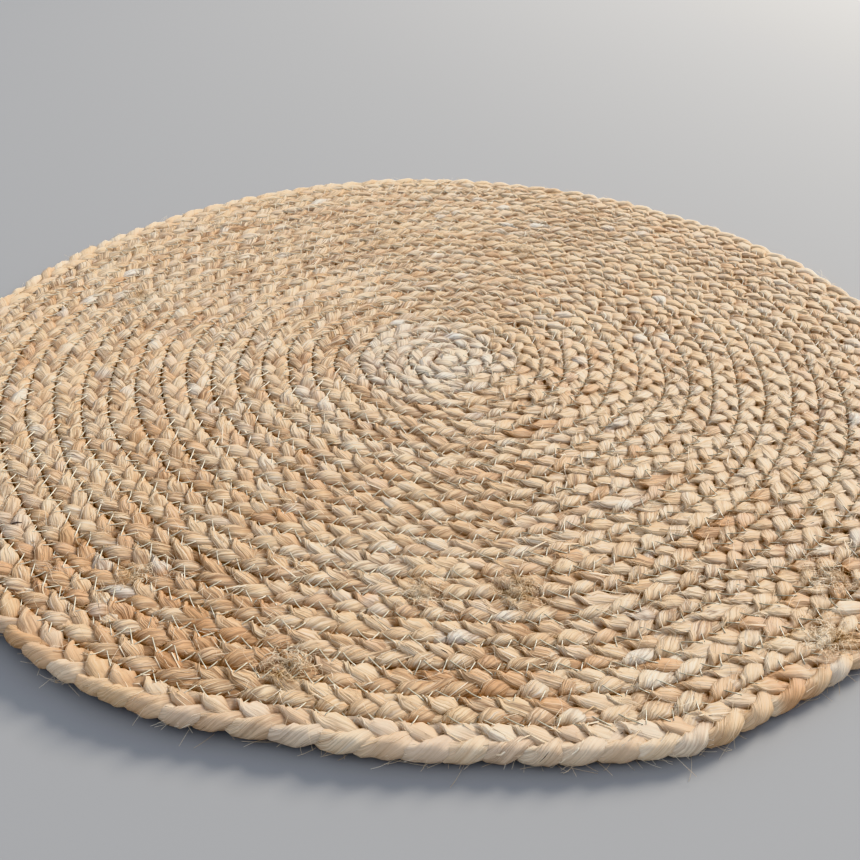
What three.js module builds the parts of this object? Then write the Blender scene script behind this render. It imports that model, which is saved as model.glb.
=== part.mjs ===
// Round table mat of plaited jute: one three-strand braid, coiled flat from the middle outwards
// and sewn round to round. Millimetres, +Z up, front edge towards -Y, underside on z = 0.
// The origin is at the middle of the mat's outline, on the surface that it lies on.

import * as THREE from 'three';

// Driving dimensions
const END_RADIUS = 193.5;      // middle of the coil to the outer edge, just before the braid ends
const END_DIRECTION = 322;     // degrees round the coil, seen from above, where the braid ends
const FULL_ROUNDS = 20;        // whole rounds of braid inside the last, part one
const THICKNESS = 7;           // height of the braid as it lies
const GROOVE_DEPTH = 1.9;      // how far the seam between two rounds lies below their tops
const CURL_TURNS = 0.5;        // the braid's first curl, which is closed by a low dome
const CURL_HEIGHT = 6.2;       // top of that dome
const CURL_RADIUS = 4.2;       // middle of the coil to the top of the dome
const CURL_RISE_TURNS = 0.5;   // turns over which the braid rises out of it to its full height
const END_TAPER = 26;          // degrees over which the end narrows and is tucked against the rim
const END_HEIGHT = 4.6;        // height of the braid at its tucked end

// Where the unevenness of the edge begins, as shares of the radius
const EVEN_SHARE = 0.4;        // the rounds inside this are even
const FLAT_SHARE = 0.8;        // the rounds inside this lie flat on the table

// The crossings of the strands, which scallop the rim
const LOBES = 128;             // strand crossings round the rim
const LOBE_DEPTH = 1.3;        // how far the hollows between them lie inside their tops
const CREST_DEPTH = 0.7;       // how far the same hollows dip on top of the last round

// Steps of the surface
const STEPS = 64;              // steps in a round inside the mat
const LOBE_STEPS = 4;          // steps in a crossing at the rim

// The mat is not quite round, and its edge curls up a little at the front left.
// at: degrees, out: beyond the even spiral, lift: off the table.
const EDGE = [
  { at: 0, out: 0.6, lift: 0 },
  { at: 45, out: -0.7, lift: 0 },
  { at: 90, out: 0.9, lift: 0.3 },
  { at: 135, out: -0.6, lift: 0 },
  { at: 180, out: 0.7, lift: 0.3 },
  { at: 212, out: -0.8, lift: 1.4 },
  { at: 231, out: 0.6, lift: 1.8 },
  { at: 240, out: 1.2, lift: 1.7 },
  { at: 247, out: 0.1, lift: 1.4 },
  { at: 258, out: -3.9, lift: 1.0 },
  { at: 272, out: -4.2, lift: 0.4 },
  { at: 280, out: -1.9, lift: 0.2 },
  { at: 288, out: 1.1, lift: 0 },
  { at: 299, out: -2.6, lift: 0 },
  { at: 306, out: -1.8, lift: 0 },
  { at: 330, out: -0.2, lift: 0 },
];

// The rim's section, from the shoulder down to the underside.
// inset: from the outermost line, height: above the underside, lean: steps that the crossings lag.
const RIM = [
  { inset: 1.2, height: 5.8, lean: 1 },
  { inset: 0, height: 3.6, lean: 2 },
  { inset: 1.2, height: 1.3, lean: 3 },
];
const FOOT_INSET = 4;          // where the rim's curve meets the underside

const PITCH = END_RADIUS / (FULL_ROUNDS + END_DIRECTION / 360);
const END_TURNS = FULL_ROUNDS - 1 + END_DIRECTION / 360;
const FINE_STEPS = LOBES * LOBE_STEPS;
const FINE_PER_STEP = FINE_STEPS / STEPS;
const LAST = Math.round((END_TURNS - CURL_TURNS) * STEPS);

function smooth(from, to, value) {
  return THREE.MathUtils.smoothstep(value, from, to);
}

// One column of the EDGE table at any direction, eased from row to row
function edgeValue(turns, column) {
  const at = (turns - Math.floor(turns)) * 360;
  const next = EDGE.findIndex((row) => row.at > at);
  const after = next < 0 ? { ...EDGE[0], at: 360 } : EDGE[next];
  const before = next < 0 ? EDGE[EDGE.length - 1] : EDGE[next - 1];
  const share = smooth(before.at, after.at, at);
  return THREE.MathUtils.lerp(before[column], after[column], share);
}

// A point of the mat: turns round the coil, its even radius and its height above the underside
function place(turns, radius, height) {
  const outward = edgeValue(turns, 'out') * smooth(EVEN_SHARE, 1, radius / END_RADIUS);
  const lift = edgeValue(turns, 'lift') * smooth(FLAT_SHARE, 1, radius / END_RADIUS);
  const angle = turns * 2 * Math.PI;
  const r = radius + outward;
  return new THREE.Vector3(r * Math.cos(angle), r * Math.sin(angle), height + lift);
}

// Width of the braid's last round, full until its end narrows
function endWidth(turns) {
  const left = THREE.MathUtils.clamp((END_TURNS - turns) * 360 / END_TAPER, 0, 1);
  return PITCH * Math.sin(left * Math.PI / 2);
}

// How deep the hollow between two crossings is at a fine step, from 0 to 1
function hollow(step, lean) {
  return (1 - Math.cos((step + lean) * 2 * Math.PI / LOBE_STEPS)) / 2;
}

const points = [];
const faces = [];

function addPoint(point) {
  points.push(point);
  return points.length - 1;
}

function addFace(a, b, c) {
  faces.push(a, b, c);
}

// A strip of faces between two equal lines that run the same way round, the first one inside
function joinLines(inner, outer) {
  for (let i = 0; i + 1 < inner.length; i += 1) {
    addFace(inner[i], outer[i], outer[i + 1]);
    addFace(inner[i], outer[i + 1], inner[i + 1]);
  }
}

// A strip of faces from a line with one point for each `ratio` points of the other
function joinCoarse(coarse, fine, ratio, coarseInside) {
  const face = coarseInside ? addFace : (a, b, c) => addFace(a, c, b);
  const half = ratio / 2;
  for (let i = 0; i + 1 < coarse.length; i += 1) {
    const start = i * ratio;
    for (let k = 0; k < half; k += 1) {
      face(coarse[i], fine[start + k], fine[start + k + 1]);
    }
    face(coarse[i], fine[start + half], coarse[i + 1]);
    for (let k = half; k < ratio; k += 1) {
      face(coarse[i + 1], fine[start + k], fine[start + k + 1]);
    }
  }
}

// Rings of the rim: each closes on its own first point
function rimRing(section) {
  const ring = [];
  for (let k = 0; k < FINE_STEPS; k += 1) {
    const turns = END_TURNS - 1 + k / FINE_STEPS;
    const width = endWidth(turns);
    const depth = LOBE_DEPTH * hollow(k, section.lean) * (width / PITCH);
    const radius = turns * PITCH + width - section.inset - depth;
    ring.push(addPoint(place(turns, radius, section.height)));
  }
  ring.push(ring[0]);
  return ring;
}

// Rings of the underside, closed in the same way
function undersideRing(radiusAt) {
  const ring = [];
  for (let i = 0; i < STEPS; i += 1) {
    const turns = END_TURNS - 1 + i / STEPS;
    ring.push(addPoint(place(turns, radiusAt(turns), 0)));
  }
  ring.push(ring[0]);
  return ring;
}

const rings = RIM.map(rimRing);
const braidEnd = rings[0][0];

// The seam between the rounds, and the top of each round but the last
const seam = [];
const crest = [];
for (let i = 0; i < LAST; i += 1) {
  const turns = END_TURNS - (LAST - i) / STEPS;
  seam.push(addPoint(place(turns, turns * PITCH, THICKNESS - GROOVE_DEPTH)));
  if (i <= LAST - STEPS) {
    const rise = smooth(0, CURL_RISE_TURNS, i / STEPS);
    const height = THREE.MathUtils.lerp(CURL_HEIGHT, THICKNESS, rise);
    crest.push(addPoint(place(turns, (turns + 0.5) * PITCH, height)));
  }
}
seam.push(braidEnd);

// The top of the last round rises and dips with the crossings
const rimCrest = [crest[LAST - STEPS]];
for (let k = 1; k < FINE_STEPS; k += 1) {
  const turns = END_TURNS - 1 + k / FINE_STEPS;
  const width = endWidth(turns);
  const full = THREE.MathUtils.lerp(END_HEIGHT, THICKNESS, width / PITCH);
  const height = full - CREST_DEPTH * hollow(k, 0);
  rimCrest.push(addPoint(place(turns, turns * PITCH + width / 2, height)));
}
rimCrest.push(braidEnd);

// Top of the coil
joinLines(seam.slice(0, crest.length), crest);
joinLines(crest, seam.slice(STEPS));
joinCoarse(seam.slice(LAST - STEPS), rimCrest, FINE_PER_STEP, true);

// The first curl in the middle
const QUARTER_TURN = 0.25;
const curlTop = addPoint(place(CURL_TURNS - QUARTER_TURN, CURL_RADIUS, CURL_HEIGHT));
const curlEdge = [...seam.slice(0, STEPS + 1), crest[0], seam[0]];
for (let i = 0; i + 1 < curlEdge.length; i += 1) {
  addFace(curlTop, curlEdge[i], curlEdge[i + 1]);
}

// The rim and the underside
joinLines(rimCrest, rings[0]);
joinLines(rings[0], rings[1]);
joinLines(rings[1], rings[2]);
const foot = undersideRing((turns) => turns * PITCH + endWidth(turns) - FOOT_INSET);
const flat = undersideRing(() => FLAT_SHARE * END_RADIUS);
joinCoarse(foot, rings[2], FINE_PER_STEP, false);
joinLines(foot, flat);
const middle = addPoint(new THREE.Vector3(0, 0, 0));
for (let i = 0; i < STEPS; i += 1) {
  addFace(middle, flat[i + 1], flat[i]);
}

// The crest meets the shoulder at the braid's end, which leaves faces with two equal corners
function coilGeometry() {
  const index = [];
  for (let i = 0; i < faces.length; i += 3) {
    const [a, b, c] = faces.slice(i, i + 3);
    if (a !== b && b !== c && c !== a) {
      index.push(a, b, c);
    }
  }
  const box = new THREE.Box3().setFromPoints(points);
  const centre = box.getCenter(new THREE.Vector3());
  const geometry = new THREE.BufferGeometry().setFromPoints(points);
  geometry.setIndex(index);
  geometry.translate(-centre.x, -centre.y, -box.min.z);
  geometry.computeVertexNormals();
  return geometry;
}

const jute = new THREE.MeshStandardMaterial({ color: 0xc9a778, roughness: 0.85, metalness: 0 });
const coil = new THREE.Mesh(coilGeometry(), jute);
coil.name = 'braided_coil';

const mat = new THREE.Group();
mat.add(coil);

export default mat;
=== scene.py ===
# %% [markdown]
# # A round placemat of plaited jute
# The real mat is one long braid of three jute strands. It is coiled flat from the middle outwards,
# and a sewing machine joins each round to the next with a zigzag of thread. This lesson dresses the
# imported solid, a ribbed disc, with the real make-up of the mat: three plaited strands, the sewing
# thread on both faces, and the loose fibres that stand out of the jute.
#
# The strands could be one bumpy disc with a picture of a braid in its material. That looks flat from
# the side and along the rim, so each strand is made as a mesh that runs over and under the others.

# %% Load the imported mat
import math
import bpy
import numpy as np
from mathutils import Matrix, Vector
from mathutils.bvhtree import BVHTree


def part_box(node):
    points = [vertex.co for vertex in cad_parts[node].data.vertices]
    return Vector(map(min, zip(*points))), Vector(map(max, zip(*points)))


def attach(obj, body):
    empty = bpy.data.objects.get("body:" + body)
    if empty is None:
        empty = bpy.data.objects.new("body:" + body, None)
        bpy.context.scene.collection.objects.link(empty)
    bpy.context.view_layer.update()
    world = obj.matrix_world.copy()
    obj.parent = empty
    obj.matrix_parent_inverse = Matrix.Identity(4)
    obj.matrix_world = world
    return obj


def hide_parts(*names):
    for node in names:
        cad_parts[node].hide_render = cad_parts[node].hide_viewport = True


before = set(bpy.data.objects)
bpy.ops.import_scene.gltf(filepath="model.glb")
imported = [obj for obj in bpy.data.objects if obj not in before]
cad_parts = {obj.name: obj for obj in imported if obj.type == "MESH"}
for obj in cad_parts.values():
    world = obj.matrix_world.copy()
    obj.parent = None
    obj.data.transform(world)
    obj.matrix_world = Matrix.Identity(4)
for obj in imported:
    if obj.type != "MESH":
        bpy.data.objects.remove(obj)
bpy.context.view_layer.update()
bpy.ops.object.select_all(action="DESELECT")

# %% [markdown]
# ## The coil
# All sizes are in metres. The braid's middle line is a spiral: each turn is one braid width further
# out. The rim isn't a true circle, so a short table says how far it stands out or in, and how far it
# curls off the table, in each direction round the mat. Directions are degrees seen from above, with
# 0 to the right and 270 at the front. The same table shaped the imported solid. Inside the rim the
# rounds sway a little from side to side, as the hand that guides the braid is never quite steady.

# %% Sizes of the coil
MM = 0.001
END_RADIUS = 193.5 * MM
END_DIRECTION = 322
FULL_ROUNDS = 20
THICKNESS = 7 * MM
END_TAPER = 26
EVEN_SHARE = 0.4
FLAT_SHARE = 0.8
# at: degrees, out: beyond the even spiral in mm, lift: off the table in mm
EDGE = [
    dict(at=0, out=0.6, lift=0.0),
    dict(at=45, out=-0.7, lift=0.0),
    dict(at=90, out=0.9, lift=0.3),
    dict(at=135, out=-0.6, lift=0.0),
    dict(at=180, out=0.7, lift=0.3),
    dict(at=212, out=-0.8, lift=1.4),
    dict(at=231, out=0.6, lift=1.8),
    dict(at=240, out=1.2, lift=1.7),
    dict(at=247, out=0.1, lift=1.4),
    dict(at=258, out=-3.9, lift=1.0),
    dict(at=272, out=-4.2, lift=0.4),
    dict(at=280, out=-1.9, lift=0.2),
    dict(at=288, out=1.1, lift=0.0),
    dict(at=299, out=-2.6, lift=0.0),
    dict(at=306, out=-1.8, lift=0.0),
    dict(at=330, out=-0.2, lift=0.0),
]
# by: sideways in mm, waves: in one round, twist: how far the wave slides from the middle to the rim
SWAYS = [
    dict(by=0.45, waves=7, twist=21),
    dict(by=0.35, waves=12, twist=-33),
]
# Shares of the rim's radius between which the sway grows, and then fades again
SWAY_BEGINS = (0.05, 0.25)
SWAY_ENDS = (0.88, 0.97)
RIM_POINTS = 2000
pitch = END_RADIUS / (FULL_ROUNDS + END_DIRECTION / 360)
end_turns = FULL_ROUNDS - 1 + END_DIRECTION / 360
print("one round is", round(1000 * pitch, 2), "mm wide")


# %% Places on the coil
def smooth(low, high, value):
    share = np.clip((value - low) / (high - low), 0, 1)
    return share * share * (3 - 2 * share)


def edge_value(turns, column):
    """One column of EDGE in metres, eased from row to row, for directions given in turns."""
    at = (turns % 1.0) * 360
    starts = np.array([row["at"] for row in EDGE] + [360.0])
    values = np.array([row[column] for row in EDGE] + [EDGE[0][column]]) * MM
    i = np.clip(np.searchsorted(starts, at, side="right") - 1, 0, len(EDGE) - 1)
    share = smooth(starts[i], starts[i + 1], at)
    return values[i] + (values[i + 1] - values[i]) * share


def round_width(turns):
    """Width of the braid, full until its end narrows."""
    left = np.clip((end_turns - turns) * 360 / END_TAPER, 0, 1)
    return pitch * np.sin(left * np.pi / 2)


def lift_at(turns, radius):
    return edge_value(turns, "lift") * smooth(FLAT_SHARE, 1, radius / END_RADIUS)


def outward(turns, radius):
    """How far a point stands out of the even spiral: the uneven edge, and rounds that sway."""
    share = radius / END_RADIUS
    angle = turns * 2 * np.pi
    sway = sum(row["by"] * np.sin(row["waves"] * angle + row["twist"] * share) for row in SWAYS)
    sway = sway * MM * smooth(*SWAY_BEGINS, share) * (1 - smooth(*SWAY_ENDS, share))
    return edge_value(turns, "out") * smooth(EVEN_SHARE, 1, share) + sway


def plan(turns, radius):
    """Where a point of the coil lies, seen from above, about the middle of the coil."""
    r = radius + outward(turns, radius)
    angle = turns * 2 * np.pi
    return np.stack([r * np.cos(angle), r * np.sin(angle)], axis=-1)


last_round = np.linspace(end_turns - 1, end_turns, RIM_POINTS)
rim = plan(last_round, last_round * pitch + round_width(last_round))
box_low, box_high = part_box("braided_coil")
box_middle = np.array([(box_low[i] + box_high[i]) / 2 for i in (0, 1)])
coil_middle = box_middle - (rim.min(axis=0) + rim.max(axis=0)) / 2
print("middle of the coil, mm:", np.round(1000 * coil_middle, 2))


def place(turns, radius, height):
    """A point of the mat in the frame, with the edge's lift added to its height."""
    flat = plan(turns, radius) + coil_middle
    z = height + lift_at(turns, radius)
    return np.concatenate([flat, np.asarray(z)[..., None]], axis=-1)


# %% [markdown]
# ## The camera
# The photograph was taken from close by, a little above the front edge, looking down by a third of
# a right angle. The camera stands at the same place over the mat, so the mat fills the frame and is
# cut off at its left and right, as it is there.

# %% Camera
CAMERA_FROM_MIDDLE = Vector((-0.0051, -0.3544, 0.2099))
CAMERA_DOWN = math.radians(33.9)
CAMERA_ROLL = math.radians(1.01)
CAMERA_LENS = 44.33
SENSOR_WIDTH = 36

camera_data = bpy.data.cameras.new("camera")
camera_data.lens = CAMERA_LENS
camera_data.sensor_width = SENSOR_WIDTH
camera_data.clip_start = 0.01
camera = bpy.data.objects.new("camera", camera_data)
bpy.context.scene.collection.objects.link(camera)
camera.location = CAMERA_FROM_MIDDLE + Vector((coil_middle[0], coil_middle[1], 0))
level_view = Matrix.Rotation(math.pi / 2 - CAMERA_DOWN, 3, "X")
camera.rotation_euler = (level_view @ Matrix.Rotation(CAMERA_ROLL, 3, "Z")).to_euler()
bpy.context.scene.camera = camera

# %% [markdown]
# ## The braid
# In a three-strand braid each strand swings from one edge of the braid to the other and back, and
# at each crossing it goes over one strand and under the next. Two waves say this: one for the swing
# across, and one of twice the pace for over and under. The strands are the same but for a third of
# the swing between them.
#
# A jute strand is soft, so it is broad and flat where it lies open on a face, and it turns on edge
# as it rolls over the braid's side. Its section is a box with well rounded corners and a few dents,
# so that it reads as a bundle of fibres that its neighbours press. Inside the mat a strand rolls over
# quickly, between two rounds. At the rim nothing is in its way, so it rolls over slowly there, bulges
# out and dips between the crossings.
#
# Modelling a single crossing by hand and repeating it would make every crossing alike, so the section
# is swept by a loop with some slow random wandering.

# %% Sizes of the braid
SWING = 29 * MM  # length of braid in which a strand swings across and back
REACH = 3.25 * MM  # how far it swings to either side
RISE = 0.52 * MM  # how far it rises over a crossing and sinks under the next
BROAD = 3.6 * MM  # half the breadth of a strand that lies open on a face
EDGE_BROAD = 2.9 * MM  # half its breadth on edge, at the braid's side
NARROW = 2.6 * MM  # half its breadth between the two
THICK = 2.3 * MM  # half its thickness, open on a face
EDGE_THICK = 1.8 * MM  # half its thickness on edge
PINCHED = 1.6 * MM  # half its thickness between the two
BOXY = 0.72  # 1 makes the section an ellipse, and less makes it boxier
RIM_DIP = 0.32  # share of the breadth that is lost between the crossings at the rim
RIM_BULGE = 0.4 * MM  # half the thickness that is gained on the rim's outer side
ROLL_PACE = 3.2  # how quickly a strand rolls over inside the mat
RIM_ROLL_LOSS = 1.7  # how much slower it rolls at the rim
LEAST_SCALE = 0.3  # size of the strands at the braid's very end
START_TURNS = -0.42
END_GAP_TURNS = 0.004
SPIRAL_POINTS = 60000
RINGS_PER_SWING = 15
CROWDING = 0.25  # how much closer the rings stand where a strand rolls over
SIDES = 14

spiral = np.linspace(START_TURNS, end_turns - END_GAP_TURNS, SPIRAL_POINTS)
spiral_radius = (spiral + 0.5) * pitch
pace = np.hypot(2 * np.pi * spiral_radius, pitch)
spiral_length = np.concatenate([[0], np.cumsum((pace[1:] + pace[:-1]) / 2 * np.diff(spiral))])
braid_length = spiral_length[-1]
print("braid, m:", round(braid_length, 2))


# %% Random wandering
def wander(along, step, seed):
    """A smooth random value between -1 and 1 that changes over each step of the length."""
    rng = np.random.default_rng(seed)
    cell = along / step
    low = np.floor(cell).astype(int)
    table = rng.uniform(-1, 1, low.max() + 2)
    share = smooth(0, 1, cell - low)
    return table[low] + (table[low + 1] - table[low]) * share


def drift(row, along, number=0):
    """Wandering as a row says, with other seeds for each strand when its number is given."""
    return row["by"] * wander(along, row["over"], 100 * number + row["seed"])


# by: a share, or metres, over: length of braid between two random values
SHARED_PACE = dict(by=0.15, over=60 * MM, seed=7)
OWN_PACE = dict(by=0.05, over=25 * MM, seed=1)
REACH_DRIFT = dict(by=0.06, over=20 * MM, seed=2)
ACROSS_DRIFT = dict(by=0.4 * MM, over=14 * MM, seed=3)
RISE_DRIFT = dict(by=0.25, over=17 * MM, seed=4)
SHARED_HEIGHT = dict(by=0.17 * MM, over=45 * MM, seed=8)
OWN_HEIGHT = dict(by=0.17 * MM, over=16 * MM, seed=9)
ROLL_DRIFT = dict(by=0.22, over=15 * MM, seed=7)
FULLNESS = dict(by=0.11, over=55 * MM, seed=8)
BROAD_DRIFT = dict(by=0.18, over=12 * MM, seed=5)
THICK_DRIFT = dict(by=0.09, over=11 * MM, seed=6)
# count: dents round the section, depth: as a share of its size, the rest: how they wind along it
DENTS = [
    dict(count=2, depth=0.05, by=4, over=16 * MM, seed=22),
    dict(count=3, depth=0.04, by=4, over=16 * MM, seed=23),
    dict(count=5, depth=0.03, by=4, over=16 * MM, seed=25),
]

# %% [markdown]
# In the finished mat no strand is free: the rounds beside it press its sides, and its top and underside
# are pressed flat. A soft-body simulation could do it, but it would be slow and would move everything.
# Here each point is eased back into the room that its round has, with the corners of that room rounded.


# %% Pressing the strands
WALL = 5.2 * MM  # from the middle of a round to where its neighbours stop it
OPEN_WALL = 0.6 * MM  # how much further the rim's outer side may stand out
WALL_EASE = 1.5 * MM  # the pressing starts this far before the wall
ROOM_BELOW = 3.3 * MM
ROOM_ABOVE = 4.2 * MM
FREE_HEIGHT = 2.2 * MM  # nothing presses a strand up to this height over or under the middle
CORNER_HEIGHT = 3.9 * MM
CORNER_POWER = 3
CORNER_BEGINS, CORNER_ENDS = 0.7, 1.05


def limit(value, start, end):
    """Leaves small values as they are and lets larger ones near the end, but never reach it."""
    over = np.maximum(np.abs(value) - start, 0)
    room = end - start
    return np.sign(value) * (np.minimum(np.abs(value), start) + room * np.tanh(over / room))


def in_last_round(turns):
    """0 inside the mat and 1 in the last round, whose outer side is the rim."""
    return smooth(end_turns - 1.05, end_turns - 0.98, turns)


def press(points, turns, width):
    """Presses the strands flat on top and against the rounds beside them."""
    flat = points[..., :2] - coil_middle
    radius = np.linalg.norm(flat, axis=-1)
    angle = np.arctan2(flat[..., 1], flat[..., 0]) / (2 * np.pi)
    own_turns = turns[:, None] + (angle - turns[:, None] + 0.5) % 1.0 - 0.5
    across = radius - outward(own_turns, radius) - own_turns * pitch - width[:, None] / 2
    lift = lift_at(own_turns, radius)
    height = points[..., 2] - lift - THICKNESS / 2
    free = in_last_round(own_turns) * (across > 0)
    wall = WALL + OPEN_WALL * free
    pressed_across = limit(across, wall - WALL_EASE, wall)
    room = np.where(height < 0, ROOM_BELOW, ROOM_ABOVE)
    pressed_height = limit(height, FREE_HEIGHT, room)
    corner = (np.abs(pressed_across) / wall) ** CORNER_POWER
    corner = corner + (np.abs(pressed_height) / CORNER_HEIGHT) ** CORNER_POWER
    corner = corner ** (1 / CORNER_POWER)
    rounded = limit(corner, CORNER_BEGINS, CORNER_ENDS) / np.maximum(corner, 0.01)
    shift = pressed_across * rounded - across
    points[..., :2] += flat * (shift / np.maximum(radius, 1 * MM))[..., None]
    points[..., 2] = THICKNESS / 2 + lift + pressed_height * rounded
    return points


# %% One strand's path
BRAID_POINTS = 40000


def strand_path(number):
    """The middle line of one strand, with its place on the coil and in its swing."""

    def phase_at(along):
        ahead_of_time = drift(SHARED_PACE, along) + drift(OWN_PACE, along, number)
        return 2 * np.pi * (along / SWING + number / 3 + ahead_of_time)

    # Rings stand closer together where the strand rolls over an edge of the braid
    every = np.linspace(0, braid_length, BRAID_POINTS)
    first, last = phase_at(every[[0, -1]])
    even = np.linspace(first, last, int(braid_length / SWING * RINGS_PER_SWING))
    along = np.interp(even - CROWDING * np.sin(2 * even), phase_at(every), every)
    phase = phase_at(along)
    turns = np.interp(along, spiral_length, spiral)
    width = round_width(turns)
    scale = np.maximum(width / pitch, LEAST_SCALE)

    reach = REACH * (1 + drift(REACH_DRIFT, along, number))
    across = scale * reach * np.cos(phase) + drift(ACROSS_DRIFT, along, number)
    rise = RISE * (1 + drift(RISE_DRIFT, along, number))
    height = THICKNESS / 2 + scale * rise * np.sin(2 * phase)
    height = height + drift(SHARED_HEIGHT, along) + drift(OWN_HEIGHT, along, number)
    centre = place(turns, turns * pitch + width / 2 + across, height)
    return dict(centre=centre, along=along, phase=phase, turns=turns, width=width, scale=scale)


# %% How a strand rolls over
def rim_share(path):
    """1 where the strand is on the rim's outer side, and 0 inside the mat."""
    in_rim = smooth(end_turns - 1.1, end_turns - 0.95, path["turns"])
    return in_rim * smooth(-0.2, 0.4, np.cos(path["phase"]))


def section_ways(path, number):
    """The strand's broad and thin directions, which turn as it rolls over."""
    ahead = np.gradient(path["centre"], axis=0)
    ahead /= np.linalg.norm(ahead, axis=1)[:, None]
    side = np.cross(ahead, [0, 0, 1])
    side /= np.linalg.norm(side, axis=1)[:, None]
    up = np.cross(side, ahead)
    quickness = ROLL_PACE - RIM_ROLL_LOSS * rim_share(path)
    roll = np.pi / 2 * np.tanh(quickness * np.sin(path["phase"]))
    roll = roll + drift(ROLL_DRIFT, path["along"], number)
    broad = -np.sin(roll)[:, None] * side + np.cos(roll)[:, None] * up
    thin = np.cos(roll)[:, None] * side + np.sin(roll)[:, None] * up
    return broad, thin


def section_sizes(path, number):
    """Half the strand's breadth and half its thickness, at each ring."""
    along, at_rim = path["along"], rim_share(path)
    open_share = np.sin(2 * path["phase"]) ** 2
    edge_share = np.cos(path["phase"]) ** 4
    fullness = 1 + drift(FULLNESS, along, number)
    wider = np.maximum((BROAD - NARROW) * open_share, (EDGE_BROAD - NARROW) * edge_share)
    half_broad = (NARROW + wider) * fullness * (1 + drift(BROAD_DRIFT, along, number))
    half_broad = half_broad * (1 - RIM_DIP * at_rim * open_share)
    half_thick = PINCHED + (THICK - PINCHED) * open_share + (EDGE_THICK - PINCHED) * edge_share
    half_thick = half_thick + RIM_BULGE * at_rim * edge_share
    half_thick = half_thick * fullness * (1 + drift(THICK_DRIFT, along, number))
    return half_broad, half_thick


# %% The rings of one strand
def strand_rings(number):
    """Rings of points for one strand, with the values that its material reads."""
    path = strand_path(number)
    along = path["along"]
    broad, thin = section_ways(path, number)
    half_broad, half_thick = section_sizes(path, number)
    around = np.arange(SIDES) * 2 * np.pi / SIDES
    dents = 1 + sum(
        row["depth"] * np.cos(row["count"] * around[None, :] + drift(row, along, number)[:, None])
        for row in DENTS
    )
    size = dents * np.sqrt(path["scale"])[:, None]
    across_share = np.sign(np.cos(around)) * np.abs(np.cos(around)) ** BOXY
    up_share = np.sign(np.sin(around)) * np.abs(np.sin(around)) ** BOXY
    points = (
        path["centre"][:, None, :]
        + (size * across_share * half_broad[:, None])[..., None] * broad[:, None, :]
        + (size * up_share * half_thick[:, None])[..., None] * thin[:, None, :]
    )
    points = press(points, path["turns"], path["width"])
    return dict(points=points, along=along, turns=path["turns"], around=around)


strands = [strand_rings(number) for number in range(3)]
top = max(s["points"][..., 2].max() for s in strands)
print("highest point of the braid, mm:", round(1000 * top, 2))

# %% [markdown]
# ## From rings to a mesh
# Strands, thread and fibres are all sweeps: neighbouring rings are joined by four-sided faces and the
# two ends are closed. A curve with a bevel sweeps too, but its section can't change shape on the way
# as a strand's does. So one helper builds the mesh from rings, for any number of lengths at once.


# %% A mesh from rings
def sweep_mesh(name, rings):
    """A closed mesh for lengths of rings, an array of (lengths, rings, sides, 3)."""
    lengths, count, sides = rings.shape[:3]
    index = np.arange(lengths * count * sides).reshape(lengths, count, sides)
    here, there = index[:, :-1], index[:, 1:]
    quads = np.stack(
        [here, np.roll(here, -1, axis=2), np.roll(there, -1, axis=2), there], axis=-1
    ).reshape(-1, 4)
    caps = np.concatenate([index[:, 0, ::-1], index[:, -1]])
    middle = index[0, count // 2, 0]
    points = rings.reshape(-1, 3)
    ring = rings[0, count // 2]
    normal = np.cross(ring[1] - ring[0], rings[0, count // 2 + 1, 0] - ring[0])
    if np.dot(normal, points[middle] - ring.mean(axis=0)) < 0:
        quads, caps = quads[:, ::-1], caps[:, ::-1]

    mesh = bpy.data.meshes.new(name)
    mesh.vertices.add(len(points))
    mesh.vertices.foreach_set("co", points.astype(np.float32).ravel())
    corners = np.concatenate([quads.ravel(), caps.ravel()])
    sizes = np.concatenate([np.full(len(quads), 4), np.full(len(caps), sides)])
    mesh.loops.add(len(corners))
    mesh.loops.foreach_set("vertex_index", corners.astype(np.int32))
    mesh.polygons.add(len(sizes))
    starts = np.concatenate([[0], np.cumsum(sizes)[:-1]])
    mesh.polygons.foreach_set("loop_start", starts.astype(np.int32))
    mesh.update(calc_edges=True)
    mesh.validate()
    mesh.shade_smooth()
    piece = bpy.data.objects.new(name, mesh)
    bpy.context.scene.collection.objects.link(piece)
    return piece


def set_vectors(piece, name, values):
    attribute = piece.data.attributes.new(name, "FLOAT_VECTOR", "POINT")
    attribute.data.foreach_set("vector", np.asarray(values, dtype=np.float32).ravel())


def set_values(piece, name, values):
    attribute = piece.data.attributes.new(name, "FLOAT", "POINT")
    attribute.data.foreach_set("value", np.asarray(values, dtype=np.float32).ravel())


def faces_in(piece):
    return sum(len(p.vertices) - 2 for p in piece.data.polygons)


# %% [markdown]
# ## Colour that follows the fibres
# Jute is combed from many plants, so one strand runs from straw to tan, and here and there to
# orange-brown or a silvery white. The middle of the coil is paler than the rest, and the strands are
# browner and darker at the front left: partly their own colour, and partly painted shade for the
# light that is weaker towards the left.
#
# A picture of the real mat could hold all this, but it would keep the light of one photograph and
# blur from close by. So the material reads four values that are stored on each point. `fibre` is the
# place along and around the strand, in metres, so that fibres run lengthwise and never slide. `tones`
# holds three tones: light, warm and silver. They wander along the strand, and a short table adds the
# places that stand out. `combed` and `deep` come after them.

# %% Tones of the jute
LIGHT_DRIFTS = [
    dict(by=0.20, over=120 * MM, seed=1000),
    dict(by=0.25, over=30 * MM, seed=1001),
    dict(by=0.32, over=10 * MM, seed=1002),
]
WARM_DRIFTS = [
    dict(by=0.25, over=150 * MM, seed=1003),
    dict(by=0.40, over=13 * MM, seed=1004),
]
RARE_SILVER = dict(by=1.0, over=18 * MM, seed=1005)
FAINT_SILVER = dict(by=1.0, over=60 * MM, seed=1006)
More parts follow.
